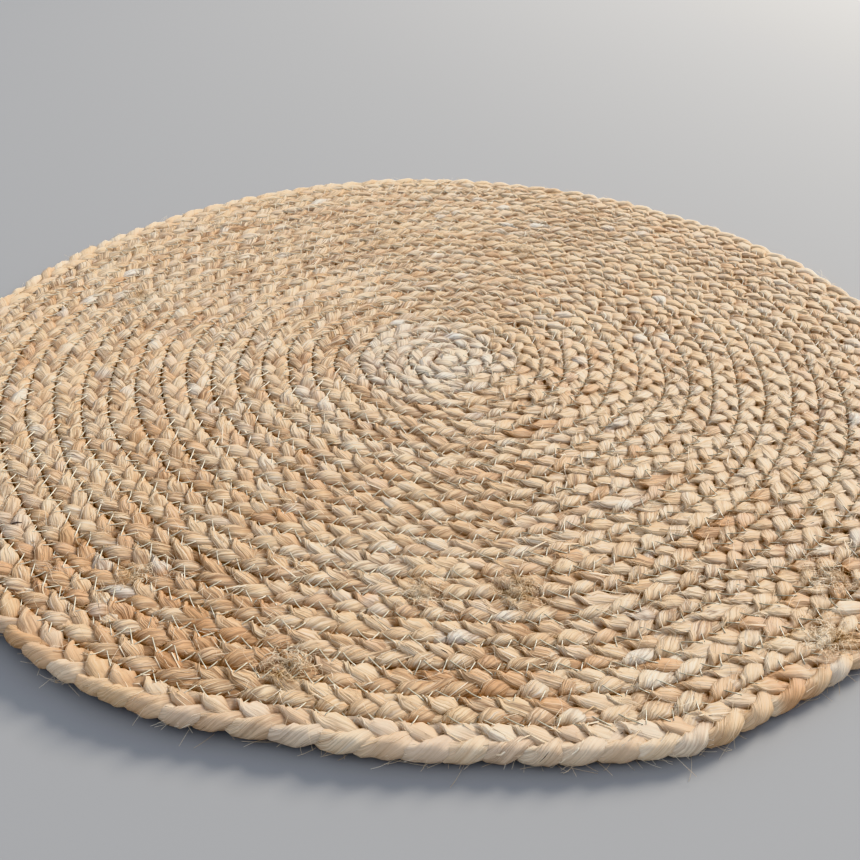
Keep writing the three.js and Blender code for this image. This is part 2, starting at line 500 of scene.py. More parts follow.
# at: degrees round the mat, share: of the rim's radius, wide: degrees, deep: share of the radius
PATCHES = [
    dict(at=236, share=0.86, wide=16, deep=0.10, light=-0.15, warm=0.36, silver=0.0),
    # The next row darkens the front left: partly browner jute, partly painted shade for weaker light
    # there
    dict(at=230, share=0.72, wide=26, deep=0.22, light=-0.22, warm=0.10, silver=0.0),
    dict(at=252, share=0.65, wide=15, deep=0.020, light=0.25, warm=-0.2, silver=0.75),
    dict(at=298.5, share=0.985, wide=2.2, deep=0.02, light=0.15, warm=0.55, silver=-0.3),
    dict(at=312, share=0.73, wide=9, deep=0.05, light=-0.25, warm=0.45, silver=0.0),
    dict(at=219, share=0.866, wide=2.5, deep=0.02, light=-0.8, warm=0.0, silver=0.3),
    dict(at=204, share=0.845, wide=2.5, deep=0.02, light=-0.8, warm=0.0, silver=0.3),
    dict(at=254, share=0.975, wide=44, deep=0.024, light=-0.4, warm=-0.1, silver=0.35),
    dict(at=262, share=0.86, wide=20, deep=0.10, light=-0.25, warm=0.16, silver=0.0),
    dict(at=226, share=0.975, wide=24, deep=0.024, light=-0.4, warm=0.05, silver=-0.2),
    dict(at=306, share=0.975, wide=5, deep=0.03, light=-0.6, warm=0.3, silver=0.1),
    dict(at=279, share=0.685, wide=4, deep=0.03, light=-0.5, warm=0.1, silver=0.2),
    dict(at=256, share=0.86, wide=4, deep=0.03, light=-0.5, warm=0.1, silver=0.2),
]
PATCH_EDGE = (0.6, 1.1)  # a place is full inside the first share of its size, none beyond the second
PALE_MIDDLE = np.array([-7 * MM, 1 * MM])
PALE_RADIUS = 31 * MM
PALE_EDGE = (0.6 * PALE_RADIUS, 1.25 * PALE_RADIUS)
PALE_TONES = dict(light=-0.1, warm=-0.4, silver=0.55)


def strand_tones(strand, number):
    along, turns = strand["along"], strand["turns"]
    light = sum(drift(row, along, number) for row in LIGHT_DRIFTS)
    warm = sum(drift(row, along, number) for row in WARM_DRIFTS)
    silver = 0.8 * smooth(0.8, 1.0, drift(RARE_SILVER, along, number))
    silver = silver + 0.3 * smooth(0, 1, drift(FAINT_SILVER, along, number))
    at = (turns % 1.0) * 360
    share = (turns + 0.5) * pitch / END_RADIUS
    for row in PATCHES:
        away = np.abs((at - row["at"] + 180) % 360 - 180) / row["wide"]
        deep = np.abs(share - row["share"]) / row["deep"]
        inside = 1 - smooth(*PATCH_EDGE, np.maximum(away, deep))
        light = light + row["light"] * inside
        warm = warm + row["warm"] * inside
        silver = silver + row["silver"] * inside
    from_pale = np.linalg.norm(plan(turns, (turns + 0.5) * pitch) - PALE_MIDDLE, axis=-1)
    in_middle = 1 - smooth(*PALE_EDGE, from_pale)
    light = light + PALE_TONES["light"] * in_middle
    warm = warm + PALE_TONES["warm"] * in_middle
    silver = silver + PALE_TONES["silver"] * in_middle
    return np.stack([light, warm, silver], axis=-1)


# %% [markdown]
# The fibres lie smooth and close in the outermost round and coarser inside: `combed` says how smooth.
# `deep` says how far down between the strands a point is. The colour is painted darker and browner
# there, as painted shade, on top of the shade that the light itself gives.

# %% Combed places, and painted shade down between the strands
COMBED_INSIDE = 0.2
COMBED_AT_RIM = 0.45
COMBED_DRIFT = dict(by=0.25, over=24 * MM, seed=77)
# Painted shade is full nearer the middle of the mat's thickness than the first height, none beyond the
# second
PAINTED_SHADE_BEGINS, PAINTED_SHADE_ENDS = 0.8 * MM, 2.6 * MM  # over or under the middle of the mat's thickness
RIM_SIDE = 2.5 * MM  # from the middle of the last round to where its outer side is in the open


def combed_share(strand):
    """1 where the fibres lie smooth, as in the outermost round, and 0 where they are coarse."""
    at_rim = smooth(end_turns - 1.15, end_turns - 0.95, strand["turns"])
    combed = COMBED_INSIDE + drift(COMBED_DRIFT, strand["along"]) + COMBED_AT_RIM * at_rim
    return np.clip(combed, 0, 1)


def painted_shade_share(strand):
    """Painted shade: 1 down between the strands, 0 on their backs and the rim's outer side."""
    points, turns = strand["points"], strand["turns"][:, None]
    radius = np.linalg.norm(points[..., :2] - coil_middle, axis=-1)
    from_middle = np.abs(points[..., 2] - lift_at(turns, radius) - THICKNESS / 2)
    across = radius - outward(turns, radius) - turns * pitch - round_width(turns) / 2
    outside = in_last_round(turns) * smooth(0, RIM_SIDE, across)
    return (1 - smooth(PAINTED_SHADE_BEGINS, PAINTED_SHADE_ENDS, from_middle)) * (1 - outside)


# %% The three strands
TWIST_LENGTH = 110 * MM  # length in which the fibres wind once round their strand
FIBRE_RADIUS = 2.1 * MM
STRANDS_APART = 17.0  # metres between the strands in the noise, so that no two are alike

strand_pieces = []
for number, strand in enumerate(strands):
    piece = sweep_mesh(f"jute_strand_{number + 1}", strand["points"][None])
    angle = strand["around"][None, :] + (2 * np.pi * strand["along"] / TWIST_LENGTH)[:, None]
    along = np.broadcast_to(strand["along"][:, None], angle.shape) + number * STRANDS_APART
    fibre = [along, FIBRE_RADIUS * np.cos(angle), FIBRE_RADIUS * np.sin(angle)]
    set_vectors(piece, "fibre", np.stack(fibre, axis=-1))
    tones = strand_tones(strand, number)
    set_vectors(piece, "tones", np.repeat(tones[:, None], SIDES, axis=1))
    combed = np.repeat(combed_share(strand)[:, None], SIDES, axis=1)
    set_values(piece, "combed", combed)
    # How much painted shade each point gets, down between the strands
    set_values(piece, "deep", painted_shade_share(strand))
    strand_pieces.append(piece)
    print(piece.name, faces_in(piece), "triangles")

# %% [markdown]
# ## The sewing
# The machine sews a zigzag over each seam, on both faces. Each leg of the zigzag crosses the groove
# between two rounds and dives into the jute at its ends, where the needle went in. The dive is deeper
# on the outer side of the seam, and some legs are pulled half into the soft strands.
#
# A few stitches could be laid by hand as a curve with a bevel. There are thousands of legs here, so a
# loop lays them. To lie on the strands, the thread asks how high they are below each of its points,
# with rays from above, and for the underside with rays from below.

# %% Heights of the braid
RAY_START = 50 * MM  # over the table, or under it
trees = []
for piece in strand_pieces:
    mesh = piece.data
    co = np.empty(len(mesh.vertices) * 3, dtype=np.float32)
    mesh.vertices.foreach_get("co", co)
    loops = np.empty(len(mesh.loops), dtype=np.int32)
    mesh.loops.foreach_get("vertex_index", loops)
    polygons = [list(p) for p in loops[: (len(mesh.polygons) - 2) * 4].reshape(-1, 4)]
    trees.append(BVHTree.FromPolygons(co.reshape(-1, 3).tolist(), polygons))


def surface_height(points, from_above=True):
    """Height of the braid's top, or of its underside, at each point seen from above."""
    side = 1 if from_above else -1
    way = Vector((0, 0, -side))
    best = max if from_above else min
    heights = []
    for x, y in points.reshape(-1, 2):
        hits = [tree.ray_cast(Vector((x, y, side * RAY_START)), way)[0] for tree in trees]
        found = [hit.z for hit in hits if hit is not None]
        heights.append(best(found) if found else THICKNESS / 2)
    return np.array(heights).reshape(points.shape[:-1])


# %% Sizes of the sewing
STITCH = 7.2 * MM  # length of one zigzag, which has two legs
STITCH_REACH = 2.3 * MM  # how far a leg reaches to either side of the seam
STITCH_SLANT = 1.5 * MM
ALONG_JITTER = 0.12  # share of a leg
REACH_JITTER = 0.14  # share of the reach
INNER_DIVE = (0.3, 1.2)  # mm that the thread goes down at the seam's inner side
OUTER_DIVE = (1.2, 2.2)  # mm that it goes down at the outer side
SLACK = 0.1 * MM  # how far a tight leg may cut into the strands
SUNK = 0.5 * MM  # how far some legs are pulled into the strands
SINKING = (0.6, 1.0)  # the chance from which a leg begins to be pulled in, and is fully
RIM_CHANCE = 0.4  # what the outermost seam adds to a leg's chance
THREAD_RADIUS = 0.17 * MM
OVER_STRANDS = 0.8  # of its radius, from the strands to the thread's middle line
OVER_TABLE = 1.5  # of its radius, the least height of that line
FIRST_SEAM = 0.75  # turns from the middle of the coil
SEAM_POINTS = 40000


# %% The zigzag
def tube_rings(lines, wide, sides, thick=None, out=None):
    """Rings round lines of points, an array of (lengths, points, 3), flat side along out."""
    ahead = np.gradient(lines, axis=1)
    ahead /= np.linalg.norm(ahead, axis=2)[..., None] + 1e-12
    side = np.cross(ahead, [0.0, 0.0, 1.0] if out is None else out)
    side /= np.linalg.norm(side, axis=2)[..., None] + 1e-12
    up = np.cross(side, ahead)
    around = np.arange(sides) * 2 * np.pi / sides + np.pi / sides
    wide = np.broadcast_to(wide, lines.shape[:2])[..., None]
    thick = wide if thick is None else np.broadcast_to(thick, lines.shape[:2])[..., None]
    return (
        lines[:, :, None, :]
        + (np.cos(around) * wide)[..., None] * side[:, :, None, :]
        + (np.sin(around) * thick)[..., None] * up[:, :, None, :]
    )


def sewing_line(from_above, legs_share, seed):
    """Points of one long zigzag over every seam, on the top or on the underside."""
    rng = np.random.default_rng(seed)
    seam = np.linspace(FIRST_SEAM, end_turns, SEAM_POINTS)
    length = np.concatenate([[0], np.cumsum(np.diff(seam) * 2 * np.pi * seam[:-1] * pitch)])
    count = int(length[-1] / STITCH) * 2
    along = (np.arange(count) + ALONG_JITTER * rng.uniform(-1, 1, count)) * STITCH / 2
    inward = np.where(np.arange(count) % 2 == 0, -1.0, 1.0)
    along = along + inward * STITCH_SLANT / 2
    reach = STITCH_REACH * (1 + REACH_JITTER * rng.uniform(-1, 1, count))
    corner_turns = np.interp(along, length, seam)
    corner_radius = corner_turns * pitch + inward * reach
    turns = corner_turns[:-1, None] + np.diff(corner_turns)[:, None] * legs_share
    radius = corner_radius[:-1, None] + np.diff(corner_radius)[:, None] * legs_share
    flat = plan(turns, radius) + coil_middle
    height = surface_height(flat, from_above)
    sign = 1.0 if from_above else -1.0
    tight = height.copy()
    for _ in range(4):
        tight[:, 1:-1] = (tight[:, :-2] + 2 * tight[:, 1:-1] + tight[:, 2:]) / 4
    height = np.maximum(sign * tight, sign * height - SLACK) + OVER_STRANDS * THREAD_RADIUS
    deep = np.where(inward < 0, rng.uniform(*INNER_DIVE, count), rng.uniform(*OUTER_DIVE, count))
    dive = deep[:-1, None] * MM * (legs_share == 0)
    outermost = smooth(end_turns - 1.1, end_turns - 0.9, turns)
    chance = rng.random(count)[:-1, None] + RIM_CHANCE * outermost
    sunk = smooth(*SINKING, chance) * SUNK
    height = height - dive - sunk
    height = np.maximum(sign * height, OVER_TABLE * THREAD_RADIUS)
    return np.concatenate([flat, height[..., None]], axis=-1).reshape(1, -1, 3)


# Where the points of a leg are, as shares of its length
TOP_LEG = np.array([0.0, 0.12, 0.37, 0.63, 0.88])
UNDER_LEG = np.array([0.0, 0.15, 0.5, 0.85])
top_line = sewing_line(True, TOP_LEG, 21)
top_thread = sweep_mesh("sewing_thread_top", tube_rings(top_line, THREAD_RADIUS, 4))
under_line = sewing_line(False, UNDER_LEG, 22)
under_thread = sweep_mesh("sewing_thread_under", tube_rings(under_line, THREAD_RADIUS, 3))
print("thread", faces_in(top_thread), "and", faces_in(under_thread), "triangles")

# %% [markdown]
# ## Loose fibres
# Jute is hairy. Most of the loose fibres lie along their strand, a little proud of it, and some
# spring off across the mat or hang over its rim. In a few places the jute has frayed into a tangle
# of short curled fibres. Hair particles would not export as a mesh, so each fibre is a very thin
# three-sided tube, all of one kind joined in one piece.

# %% Fibres that lie along the strands
LYING_COUNT = 7500
UPPER_SHARE = 0.85  # of the fibres lie on top of their strand, the rest anywhere round it
FLAT_ONES = 0.35  # of the fibres are broad and flat like a blade of straw
FIBRE_RINGS = (3, 11)  # how many rings of its strand a fibre spans
COLUMN_SPREAD = 3  # sides of the strand that it may lie off the top
COLUMN_SLANT = 1.3  # sides that it may cross on its way
BLADE_WIDE = (0.1, 0.3)  # half its breadth in mm, for the flat ones
HAIR_WIDE = 0.055  # half its breadth in mm, for the others
TAPER = np.array([0.5, 1.0, 1.0, 0.4])
PROUD = (0.02, 0.45)  # with the power and the scale below, how far in mm a fibre stands up
PROUD_POWER, PROUD_SCALE = 1.5, 1.6
BOWED = 0.6  # of the fibres are held at both ends, and the others lift their tip
TIP_LIFT = 1.8  # times as far as the middle of a bowed one
FIBRE_THICK = 0.05 * MM
RESTING = 0.05 * MM  # from the strand's surface to the middle of a fibre on it
LOWEST = 0.1 * MM  # over the table
HAIR_POINTS = 4


def lying_fibres(count, seed):
    """Lines that follow the strands, a little proud of them, with the direction that is out."""
    rng = np.random.default_rng(seed)
    lines = np.empty((count, HAIR_POINTS, 3))
    outs = np.empty_like(lines)
    share = np.linspace(0, 1, HAIR_POINTS)
    for i in range(count):
        rings = strands[rng.integers(3)]["points"]
        reach = rng.integers(*FIBRE_RINGS)
        start = rng.integers(0, len(rings) - reach - 1)
        middle = start + reach // 2
        on_top = rng.random() < UPPER_SHARE
        upper = np.argmax(rings[middle, :, 2]) if on_top else rng.integers(SIDES)
        column = upper + rng.uniform(-COLUMN_SPREAD, COLUMN_SPREAD)
        spread = rng.normal(0, COLUMN_SLANT)
        at = (start + share * reach).astype(int)
        columns = np.round(column + spread * (share - 0.5)).astype(int) % SIDES
        on = rings[at, columns]
        out = on - rings[at].mean(axis=1)
        out /= np.linalg.norm(out, axis=1)[:, None]
        proud = rng.uniform(*PROUD) ** PROUD_POWER * MM * PROUD_SCALE
        bow = np.sin(share * np.pi) if rng.random() < BOWED else share**2 * TIP_LIFT
        lines[i] = on + out * (RESTING + proud * bow)[:, None]
        lines[i, :, 2] = np.maximum(lines[i, :, 2], LOWEST)
        outs[i] = out
    return lines, outs


lying_lines, lying_outs = lying_fibres(LYING_COUNT, 31)
rng = np.random.default_rng(32)
flat_ones = rng.random(LYING_COUNT) < FLAT_ONES
lying_wide = np.where(flat_ones, rng.uniform(*BLADE_WIDE, LYING_COUNT), HAIR_WIDE)
lying_wide = lying_wide[:, None] * TAPER * MM
lying = sweep_mesh("lying_fibres", tube_rings(lying_lines, lying_wide, 3, FIBRE_THICK, lying_outs))
print("lying fibres", faces_in(lying), "triangles")

# %% Fibres that spring off
STRAY_COUNT = 2600
STRAY_RADIUS = 0.045 * MM
STRAY_SHARE = 0.97  # of the rim's radius, inside which they begin
STRAY_LENGTH = (4, 14)  # mm
STRAY_BEND = 1.1  # radians from end to end
STRAY_ARC = (0.1, 1.1)  # mm that the middle stands up
TIP_RISE = 2 * MM  # how far the end may stand up besides


def stray_fibres(count, seed):
    """Fibres that leave the braid at random and lie or stand across it in a bow."""
    rng = np.random.default_rng(seed)
    radius = END_RADIUS * STRAY_SHARE * np.sqrt(rng.uniform(0, 1, count))
    turns = rng.uniform(0, 1, count)
    start = plan(turns, radius) + coil_middle
    heading = rng.uniform(0, 2 * np.pi, count)
    bend = rng.normal(0, STRAY_BEND, count)
    length = rng.uniform(*STRAY_LENGTH, count) * MM
    share = np.linspace(0, 1, HAIR_POINTS)
    turned = heading[:, None] + bend[:, None] * share
    step = length[:, None] / (HAIR_POINTS - 1)
    dx = np.cumsum(step * np.cos(turned), axis=1) - step * np.cos(turned)
    dy = np.cumsum(step * np.sin(turned), axis=1) - step * np.sin(turned)
    flat = start[:, None] + np.stack([dx, dy], axis=-1)
    height = surface_height(flat)
    arc = np.sin(share * np.pi) * rng.uniform(*STRAY_ARC, count)[:, None] * MM
    arc = arc + share * rng.uniform(0, 1.0, count)[:, None] ** 3 * TIP_RISE
    height = height + RESTING + arc
    return np.concatenate([flat, height[..., None]], axis=-1)


# %% Frayed places
TANGLE_RADIUS = 0.08 * MM
TANGLE_LENGTH = (1.5, 5)  # mm
TANGLE_BEND = 2.2  # radians from end to end
TANGLE_ARC = (0.1, 1.3)  # mm that the middle stands up
# at: degrees round the mat, share: of the rim's radius, wide: across the tangle in mm
TANGLES = [
    dict(at=279, share=0.685, wide=11, count=210),
    dict(at=256, share=0.86, wide=12, count=200),
    dict(at=267, share=0.69, wide=8, count=80),
    dict(at=305, share=0.93, wide=14, count=190),
    dict(at=312, share=0.86, wide=12, count=110),
    dict(at=235, share=0.80, wide=9, count=70),
    dict(at=70, share=0.55, wide=10, count=100),
    dict(at=160, share=0.7, wide=10, count=100),
]


def tangle_fibres(seed):
    """Short curled fibres in the places where the jute has frayed."""
    rng = np.random.default_rng(seed)
    share = np.linspace(0, 1, HAIR_POINTS)
    lines = []
    for row in TANGLES:
        count = row["count"]
        angle = math.radians(row["at"])
        middle = np.array([math.cos(angle), math.sin(angle)]) * row["share"] * END_RADIUS
        start = coil_middle + middle + rng.normal(0, row["wide"] / 4 * MM, (count, 2))
        heading = rng.uniform(0, 2 * np.pi, count)[:, None]
        turned = heading + rng.normal(0, TANGLE_BEND, count)[:, None] * share
        step = rng.uniform(*TANGLE_LENGTH, count)[:, None] * MM / (HAIR_POINTS - 1)
        dx = np.cumsum(step * np.cos(turned), axis=1)
        dy = np.cumsum(step * np.sin(turned), axis=1)
        flat = start[:, None] + np.stack([dx, dy], axis=-1)
        arc = np.sin(share * np.pi) * rng.uniform(*TANGLE_ARC, count)[:, None] * MM
        height = surface_height(flat) + RESTING + arc
        lines.append(np.concatenate([flat, height[..., None]], axis=-1))
    return np.concatenate(lines)


# %% Hairs at the rim
RIM_HAIRS = 450
LONG_ONES = 0.12  # of the hairs reach well beyond the rim
LONG_REACH = (2, 6)  # mm
SHORT_REACH = (0.2, 1.8)  # mm
SWEPT = 5  # mm that they may lean along the rim
ROOT_INSET = 0.9 * MM  # how far inside the rim they begin
ROOT_HEIGHT = (0.4, 4.5)  # mm
HAIR_BOW = 0.8  # mm
HAIR_FALL = (-0.3, 1.0)  # share of its root's height that a hair loses by its tip


def rim_fibres(count, seed):
    """Hairs that stand out of the rim and droop towards the table."""
    rng = np.random.default_rng(seed)
    turns = end_turns - rng.uniform(0, 1, count)
    outer = turns * pitch + round_width(turns)
    share = np.linspace(0, 1, HAIR_POINTS)
    long = rng.random(count) < LONG_ONES
    reach = np.where(long, rng.uniform(*LONG_REACH, count), rng.uniform(*SHORT_REACH, count)) * MM
    sweep = rng.normal(0, SWEPT, count) * MM
    bow = rng.uniform(-HAIR_BOW, HAIR_BOW, count)[:, None] * np.sin(share * np.pi) * MM
    radius = (outer - ROOT_INSET)[:, None] + (reach + ROOT_INSET)[:, None] * share + bow
    angle = turns[:, None] + (sweep / (2 * np.pi * outer))[:, None] * share
    first = rng.uniform(*ROOT_HEIGHT, count) * MM
    fall = rng.uniform(*HAIR_FALL, count)[:, None] * first[:, None] * share
    height = np.maximum(first[:, None] - fall, 2 * LOWEST)
    flat = plan(angle, radius) + coil_middle
    lift = lift_at(angle, radius)
    return np.concatenate([flat, (height + lift)[..., None]], axis=-1)


tangle_lines = tangle_fibres(43)
loose_lines = [stray_fibres(STRAY_COUNT, 41), rim_fibres(RIM_HAIRS, 42), tangle_lines]
stray_lines = np.concatenate(loose_lines)
stray_wide = np.full((len(stray_lines), 1), STRAY_RADIUS)
stray_wide[-len(tangle_lines):] = TANGLE_RADIUS
strays = sweep_mesh("stray_fibres", tube_rings(stray_lines, stray_wide, 3))
print("stray fibres", faces_in(strays), "triangles")

# %% [markdown]
# Here and there a flake of the plant's bark is left between the fibres. Each is a flat dark sliver
# on top of a strand. Dark specks in the material would do for small ones, but the large ones have an
# edge and a shadow, so they are made as thin swept pieces at the places in a table.

# %% Flakes of bark
FLAKE_POINTS = 8
FLAKE_THICK = 0.1 * MM
FLAKE_RESTING = 0.06 * MM  # from the strands' surface to the middle of a flake
# at: degrees round the mat, share: of the rim's radius, turned: degrees out of the round's run
FLAKES = [
    dict(at=265.5, share=0.555, long=6.5, wide=0.55, turned=24),
    dict(at=292, share=0.52, long=5.5, wide=0.45, turned=-15),
    dict(at=219, share=0.866, long=4.5, wide=0.8, turned=55),
    dict(at=205, share=0.845, long=5.0, wide=0.7, turned=-40),
    dict(at=256, share=0.861, long=4.0, wide=0.4, turned=30),
    dict(at=331, share=0.62, long=4.0, wide=0.4, turned=20),
    dict(at=20, share=0.74, long=5.0, wide=0.45, turned=-25),
    dict(at=88, share=0.66, long=4.5, wide=0.4, turned=35),
    dict(at=141, share=0.81, long=5.5, wide=0.5, turned=10),
    dict(at=176, share=0.43, long=4.0, wide=0.35, turned=-30),
]


def flake_lines():
    share = np.linspace(-0.5, 0.5, FLAKE_POINTS)
    lines = []
    for row in FLAKES:
        angle = math.radians(row["at"])
        middle = np.array([math.cos(angle), math.sin(angle)]) * row["share"] * END_RADIUS
        way = angle + math.pi / 2 + math.radians(row["turned"])
        run = np.array([math.cos(way), math.sin(way)])
        flat = coil_middle + middle + run * (share * row["long"] * MM)[:, None]
        height = surface_height(flat) + FLAKE_RESTING
        lines.append(np.concatenate([flat, height[:, None]], axis=1))
    return np.array(lines)


flake_wide = np.array([row["wide"] / 2 * MM for row in FLAKES])
flake_wide = flake_wide[:, None] * np.sin(np.linspace(0.12, 0.94, FLAKE_POINTS) * np.pi)
flakes = sweep_mesh("bark_flakes", tube_rings(flake_lines(), flake_wide, 6, FLAKE_THICK))
print("flakes of bark", faces_in(flakes), "triangles")

# %% [markdown]
# ## The jute's material
# Seen close, a strand is hundreds of fine fibres side by side. A noise that is stretched along the
# strand and folded at its middle value gives them: round backs with sharp creases between them. It is
# used in three sizes, for the splits in a strand, for bundles of fibres and for single ones. All three
# raise the surface. The creases of splits and bundles are painted dark, as painted shade, and single
# fibres differ a little in tone.
#
# The colour comes from the values that are stored on the strand. Light runs from tan over straw to
# cream, warm turns it brown, its opposite turns it golden, and silver turns it a pale grey. Light
# enters dry jute a little way and leaves it beside, which a subsurface share gives. Its shine is
# soft, so it isn't fully rough.


# %% Node helpers
class Nodes:
    """Adds nodes to a material and links them by name."""

    def __init__(self, name):
        self.material = bpy.data.materials.new(name)
        self.material.use_nodes = True
        self.tree = self.material.node_tree
        self.shader = self.tree.nodes["Principled BSDF"]

    def add(self, kind, **settings):
        node = self.tree.nodes.new("ShaderNode" + kind)
        for key, value in settings.items():
            setattr(node, key, value)
        return node

    def link(self, source, target):
        self.tree.links.new(source, target)

    def attribute(self, name, output="Vector"):
        node = self.add("Attribute")
        node.attribute_name = name
        return node.outputs[output]

    def scaled(self, vector, scale):
        node = self.add("Mapping")
        node.inputs["Scale"].default_value = scale
        self.link(vector, node.inputs["Vector"])
        return node.outputs["Vector"]

    def noise(self, vector, detail, roughness=0.5):
        node = self.add("TexNoise")
        node.inputs["Scale"].default_value = 1.0
        node.inputs["Detail"].default_value = detail
        node.inputs["Roughness"].default_value = roughness
        self.link(vector, node.inputs["Vector"])
        return node.outputs["Fac"]

    def math(self, operation, a, b):
        node = self.add("Math", operation=operation)
        for socket, value in zip(node.inputs, (a, b)):
            if isinstance(value, (int, float)):
                socket.default_value = value
            else:
                self.link(value, socket)
        return node.outputs[0]

    def spread(self, value, low, high):
        """Stretches the values from low to high over 0 to 1."""
        node = self.add("MapRange")
        node.inputs["From Min"].default_value = low
        node.inputs["From Max"].default_value = high
        self.link(value, node.inputs["Value"])
        return node.outputs["Result"]

    def mix(self, share, a, b):
        node = self.add("Mix", data_type="RGBA")
        for socket, value in zip((node.inputs[0], node.inputs[6], node.inputs[7]), (share, a, b)):
            if isinstance(value, (int, float)):
                socket.default_value = value
            elif isinstance(value, tuple):
                socket.default_value = (*value, 1.0)
            else:
                self.link(value, socket)
        return node.outputs[2]

    def ramp(self, value, stops):
        node = self.add("ValToRGB")
        elements = node.color_ramp.elements
        while len(elements) < len(stops):
            elements.new(0.5)
        for element, (position, colour) in zip(elements, stops):
            element.position = position
            element.color = (*colour, 1.0)
        self.link(value, node.inputs["Fac"])
        return node.outputs["Color"]

    def bump(self, height, strength, distance):
        node = self.add("Bump")
        node.inputs["Strength"].default_value = strength
        node.inputs["Distance"].default_value = distance
        self.link(height, node.inputs["Height"])
        return node.outputs["Normal"]


# %% Jute
TAN = (0.59, 0.38, 0.205)
STRAW = (0.77, 0.588, 0.377)
CREAM = (0.79, 0.69, 0.54)
BROWN = (0.53, 0.27, 0.12)
GOLD = (0.77, 0.575, 0.345)
# Colour of the painted shade down between the strands
PAINTED_SHADE = (0.27, 0.13, 0.055)
SILVER = (0.76, 0.71, 0.60)
# Colour of the painted shade in the creases between fibres
PAINTED_CREASE_SHADE = (0.15, 0.07, 0.03)
BARK = (0.06, 0.04, 0.03)
# Waves in a metre, along the fibres and across them
SPLITS = (26, 560)
BUNDLES = (55, 1900)
SINGLES = (80, 3400)
STREAKS = (30, 1200)
FLECKS = (160, 1500)
FOLD = 5.0  # brings the folded noise, which is 0 to 0.2 for the most part, to about 0 to 1
# How strongly each of them changes the colour, and how high it stands
STREAK_TONE, STREAK_WARMTH, SINGLE_TONE = 0.55, 0.3, 0.7
# The next two are the strengths of the painted shade in the creases and down between the strands
CREASE_SHADE_STRENGTH, PAINTED_SHADE_STRENGTH = 0.8, 0.88
SPLIT_RELIEF, BUNDLE_RELIEF, SINGLE_RELIEF = 0.6, 0.45, 0.3
RELIEF = 0.3 * MM


def jute_material():
    n = Nodes("jute")
    fibre = n.attribute("fibre")
    tones = n.add("SeparateXYZ")
    n.link(n.attribute("tones"), tones.inputs[0])
    light, warm, silver = tones.outputs

    coarse = n.math("SUBTRACT", 1.0, n.attribute("combed", "Fac"))

    def stretched(waves):
        """The place on the fibres, with so many waves in a metre along and across them."""
        along, across = waves
        return n.scaled(fibre, (along, across, across))

    def fibres(waves):
        """Rounded fibres side by side: 0 in the creases between them, near 1 on their backs."""
        wave = n.noise(stretched(waves), 1, 0.6)
        return n.math("MULTIPLY", n.math("ABSOLUTE", n.math("SUBTRACT", wave, 0.5), 0.0), FOLD)

    splits = fibres(SPLITS)
    bundles = fibres(BUNDLES)
    singles = fibres(SINGLES)
    streaks = n.spread(n.noise(stretched(STREAKS), 3, 0.65), 0.28, 0.72)
    flecks = n.noise(stretched(FLECKS), 1)

    # The tone of the fibres, from tan to cream
    streak = n.math("SUBTRACT", streaks, 0.5)
    level = n.math("ADD", n.math("MULTIPLY", light, 0.5), 0.52)
    level = n.math("ADD", level, n.math("MULTIPLY", streak, STREAK_TONE))
    single_tone = n.math("MULTIPLY", n.math("SUBTRACT", singles, 0.45), coarse)
    level = n.math("ADD", level, n.math("MULTIPLY", single_tone, SINGLE_TONE))
    colour = n.ramp(level, [(0.0, TAN), (0.5, STRAW), (1.0, CREAM)])
    warmth = n.math("ADD", warm, n.math("MULTIPLY", streak, STREAK_WARMTH))
    # Each further tone begins to show at its first value and is full at its second
    colour = n.mix(n.spread(warmth, 0.05, 1.0), colour, BROWN)
    colour = n.mix(n.spread(warm, -0.1, -1.0), colour, GOLD)
    colour = n.mix(n.spread(silver, 0.2, 1.1), colour, SILVER)

    # Painted shade in the creases between fibres and down between the strands, and specks of bark
    between = n.math("MAXIMUM", n.spread(splits, 0.22, 0.0), n.spread(bundles, 0.36, -0.1))
    crease_shade = n.math("MULTIPLY", n.math("MULTIPLY", between, coarse), CREASE_SHADE_STRENGTH)
    colour = n.mix(crease_shade, colour, PAINTED_CREASE_SHADE)
    # Painted shade: darker and browner down between the strands, where the stored deep value is high
    deep = n.math("MULTIPLY", n.attribute("deep", "Fac"), PAINTED_SHADE_STRENGTH)
    colour = n.mix(deep, colour, PAINTED_SHADE)
    colour = n.mix(n.spread(flecks, 0.76, 0.80), colour, BARK)
    n.link(colour, n.shader.inputs["Base Color"])

    # The relief, which is low where the fibres are combed, and the shine
    bundle_height = n.math("MULTIPLY", bundles, BUNDLE_RELIEF)
    relief = n.math("ADD", bundle_height, n.math("MULTIPLY", singles, SINGLE_RELIEF))
    relief = n.math("ADD", relief, n.math("MULTIPLY", splits, SPLIT_RELIEF))
    relief = n.math("MULTIPLY", relief, n.math("ADD", n.math("MULTIPLY", coarse, 0.85), 0.15))
    n.link(n.bump(relief, 1.0, RELIEF), n.shader.inputs["Normal"])
    n.shader.inputs["Roughness"].default_value = 0.6
    n.shader.inputs["Specular IOR Level"].default_value = 0.25
    n.shader.subsurface_method = "BURLEY"
    n.shader.inputs["Subsurface Weight"].default_value = 0.35
    n.shader.inputs["Subsurface Radius"].default_value = (1.0, 0.72, 0.48)
    n.shader.inputs["Subsurface Scale"].default_value = 1.4 * MM
    return n.material


jute = jute_material()
for piece in strand_pieces:
    piece.data.materials.append(jute)
print(jute.name, "has", len(jute.node_tree.nodes), "nodes")

# %% [markdown]
# ## Thread, loose fibres and bark
# The thread is smooth and shines more than the jute. Its colour runs from cream at the left of the mat
# to olive at the right, with a little noise: the cream is painted light, for the lamp's shine that the
# thread catches at the left, and the olive is painted shade. The loose fibres and the flakes of bark
# are too thin to show more than two tones, which a soft noise mixes. One colour for each would do from
# afar, but from close by the mat would look clean and made of plastic.

